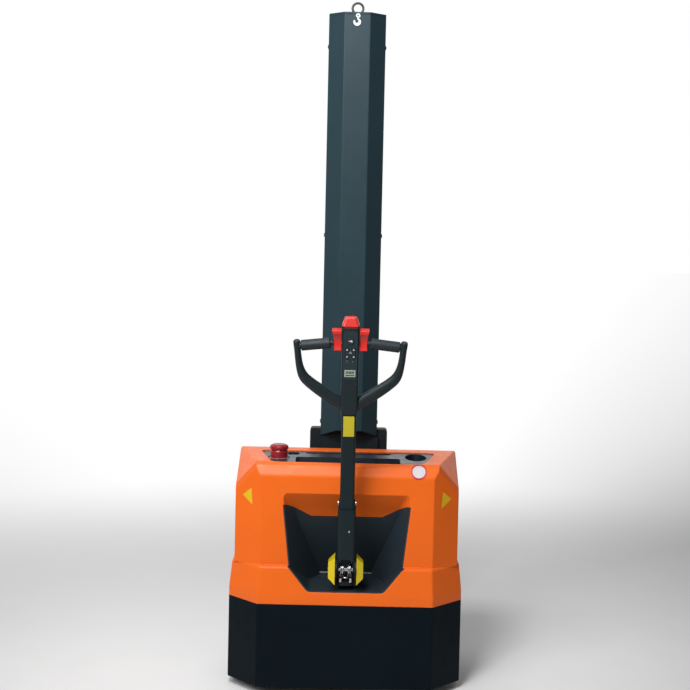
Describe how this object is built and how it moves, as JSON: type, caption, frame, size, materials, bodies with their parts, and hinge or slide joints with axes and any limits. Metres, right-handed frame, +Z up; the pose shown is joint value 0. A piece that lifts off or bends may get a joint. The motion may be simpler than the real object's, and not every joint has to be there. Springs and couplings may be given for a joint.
{
  "type": "pedestrian electric stacker",
  "caption": "Walk-behind electric stacker with a single mast, lifting forks over support legs, an upright tiller with twin handle loops and a hood with a storage tray.",
  "frame": {"origin": "centre of the bounding box in plan, on the floor", "axes": "+Z up along the mast, +Y from the tiller to the fork tips, +X to the right seen from the tiller"},
  "size_m": [0.8, 1.9352, 2.4017],
  "materials": {
    "orange_shell": "satin",
    "black_skirt": "satin",
    "grey_mast": "satin",
    "black_frame": "satin",
    "liner_plastic": "matte",
    "tray_plastic": "matte",
    "stop_ring": "matte",
    "stop_red": "gloss",
    "control_red": "satin",
    "tiller_metal": "satin",
    "head_plastic": "matte",
    "panel_plastic": "matte",
    "key_rubber": "matte",
    "display_pane": "gloss",
    "grip_rubber": "matte",
    "guard_yellow": "satin",
    "bright_steel": "polished",
    "chain_steel": "oiled",
    "roller_steel": "ground",
    "cylinder_paint": "satin",
    "gearcase": "cast",
    "motor_paint": "satin",
    "wheel_hub": "cast",
    "wheel_tread": "matte",
    "roller_tread": "matte",
    "battery_case": "matte",
    "tank_plastic": "matte",
    "controller_case": "anodised"
  },
  "bodies": {
    "chassis": {"chassis_frame": "black_frame", "front_skirt": "black_skirt", "hood": "orange_shell", "recess_liner": "liner_plastic", "storage_tray": "tray_plastic", "e_stop_base": "stop_ring", "steering_bearing": "bright_steel", "batteries": "battery_case", "oil_tank": "tank_plastic", "pump_motor": "motor_paint", "motor_controller": "controller_case", "mast_cover": "grey_mast", "mast_cover_screws": "bright_steel", "mast_top_plate": "grey_mast", "lifting_eye": "bright_steel", "mast_foot": "black_frame", "mast_rail_left": "grey_mast", "mast_rail_right": "grey_mast", "support_leg_left": "black_frame", "support_leg_right": "black_frame", "load_wheel_axles": "bright_steel", "lift_cylinder_barrel": "cylinder_paint"},
    "drive_unit": {"drive_gearbox": "gearcase", "drive_motor": "motor_paint", "drive_brake": "motor_paint", "tiller_base": "black_frame", "tiller_guards": "guard_yellow", "tiller_pivot_pin": "bright_steel", "tiller_return_spring": "bright_steel"},
    "drive_wheel": {"drive_wheel_hub": "wheel_hub", "drive_wheel_tyre": "wheel_tread"},
    "tiller": {"tiller_sleeve": "tiller_metal", "tiller_tube": "tiller_metal", "tiller_bolts": "bright_steel", "tiller_head": "head_plastic", "control_panel": "panel_plastic", "display_window": "display_pane", "handle_loop_left": "head_plastic", "handle_loop_right": "head_plastic", "grip_sleeves": "grip_rubber"},
    "throttle": {"throttle_paddles": "control_red"},
    "belly": {"belly_button": "control_red"},
    "horn": {"horn_button": "key_rubber"},
    "rocker_left": {"lift_rocker_left": "key_rubber"},
    "rocker_right": {"lift_rocker_right": "key_rubber"},
    "e_stop": {"e_stop_knob": "stop_red"},
    "carriage": {"fork_carriage": "black_frame", "fork_left": "black_frame", "fork_right": "black_frame"},
    "carriage_rollers_low": {"lower_rollers": "roller_steel"},
    "carriage_rollers_high": {"upper_rollers": "roller_steel"},
    "crosshead": {"piston_rod": "bright_steel", "lift_chain": "chain_steel"},
    "sheave": {"chain_sheave": "chain_steel"},
    "caster_left": {"caster_fork_left": "black_frame"},
    "caster_right": {"caster_fork_right": "black_frame"},
    "caster_left_wheel": {"caster_wheel_left": "roller_tread"},
    "caster_right_wheel": {"caster_wheel_right": "roller_tread"},
    "load_left": {"load_wheel_left": "roller_tread"},
    "load_right": {"load_wheel_right": "roller_tread"}
  },
  "joints": [
    {"name": "steering", "type": "hinge", "parent": "chassis", "child": "drive_unit", "pos_m": [0, -0.60771, 0.375], "axis": [0, 0, 1], "range_deg": [-40, 40]},
    {"name": "drive_spin", "type": "hinge", "parent": "drive_unit", "child": "drive_wheel", "pos_m": [0, -0.60771, 0.105], "axis": [1, 0, 0], "continuous": true},
    {"name": "tiller_tilt", "type": "hinge", "parent": "drive_unit", "child": "tiller", "pos_m": [0, -0.73771, 0.433], "axis": [1, 0, 0], "range_deg": [0, 66], "stiffness_Nm_per_rad": 24, "springref_deg": -45.84, "deforming": ["tiller_return_spring"]},
    {"name": "throttle_turn", "type": "hinge", "parent": "tiller", "child": "throttle", "pos_m": [0, -0.9327, 1.21506], "axis": [1, 0, 0], "range_deg": [-28, 28], "stiffness_Nm_per_rad": 1.2},
    {"name": "belly_press", "type": "slide", "parent": "tiller", "child": "belly", "axis": [0, 0.2419, -0.9703], "range_m": [0, 0.0045], "stiffness_N_per_m": 1500, "springref_m": -0.003},
    {"name": "horn_press", "type": "slide", "parent": "tiller", "child": "horn", "axis": [0, 0.9703, 0.2419], "range_m": [0, 0.0016], "stiffness_N_per_m": 1500, "springref_m": -0.001},
    {"name": "rocker_left_tip", "type": "hinge", "parent": "tiller", "child": "rocker_left", "pos_m": [-0.0105, -0.94281, 1.18574], "axis": [1, 0, 0], "range_deg": [-6, 6], "stiffness_Nm_per_rad": 0.3},
    {"name": "rocker_right_tip", "type": "hinge", "parent": "tiller", "child": "rocker_right", "pos_m": [0.0105, -0.94281, 1.18574], "axis": [1, 0, 0], "range_deg": [-6, 6], "stiffness_Nm_per_rad": 0.3},
    {"name": "e_stop_press", "type": "slide", "parent": "chassis", "child": "e_stop", "axis": [0, 0, -1], "range_m": [0, 0.01]},
    {"name": "carriage_lift", "type": "slide", "parent": "chassis", "child": "carriage", "axis": [0, 0, 1], "range_m": [0, 1.812], "deforming": ["lift_chain"]},
    {"name": "lower_rollers_spin", "type": "hinge", "parent": "carriage", "child": "carriage_rollers_low", "pos_m": [0, -0.28441, 0.11], "axis": [1, 0, 0], "continuous": true},
    {"name": "upper_rollers_spin", "type": "hinge", "parent": "carriage", "child": "carriage_rollers_high", "pos_m": [0, -0.28441, 0.44], "axis": [1, 0, 0], "continuous": true},
    {"name": "crosshead_lift", "type": "slide", "parent": "chassis", "child": "crosshead", "axis": [0, 0, 1], "range_m": [0, 0.906]},
    {"name": "sheave_spin", "type": "hinge", "parent": "crosshead", "child": "sheave", "pos_m": [0, -0.30271, 1.3], "axis": [1, 0, 0], "continuous": true},
    {"name": "caster_left_swivel", "type": "hinge", "parent": "chassis", "child": "caster_left", "pos_m": [-0.28, -0.58771, 0.185], "axis": [0, 0, 1], "continuous": true},
    {"name": "caster_left_spin", "type": "hinge", "parent": "caster_left", "child": "caster_left_wheel", "pos_m": [-0.28, -0.55771, 0.065], "axis": [1, 0, 0], "continuous": true},
    {"name": "load_left_spin", "type": "hinge", "parent": "chassis", "child": "load_left", "pos_m": [-0.2, 0.50929, 0.037], "axis": [1, 0, 0], "continuous": true},
    {"name": "caster_right_swivel", "type": "hinge", "parent": "chassis", "child": "caster_right", "pos_m": [0.28, -0.58771, 0.185], "axis": [0, 0, 1], "continuous": true},
    {"name": "caster_right_spin", "type": "hinge", "parent": "caster_right", "child": "caster_right_wheel", "pos_m": [0.28, -0.55771, 0.065], "axis": [1, 0, 0], "continuous": true},
    {"name": "load_right_spin", "type": "hinge", "parent": "chassis", "child": "load_right", "pos_m": [0.2, 0.50929, 0.037], "axis": [1, 0, 0], "continuous": true}
  ],
  "couplings": [
    {"joint": "crosshead_lift", "follows": "carriage_lift", "ratio": 0.5},
    {"joint": "sheave_spin", "follows": "carriage_lift", "rad_per_m": 11.111},
    {"joint": "lower_rollers_spin", "follows": "carriage_lift", "rad_per_m": 25.974},
    {"joint": "upper_rollers_spin", "follows": "carriage_lift", "rad_per_m": -25.974}
  ]
}
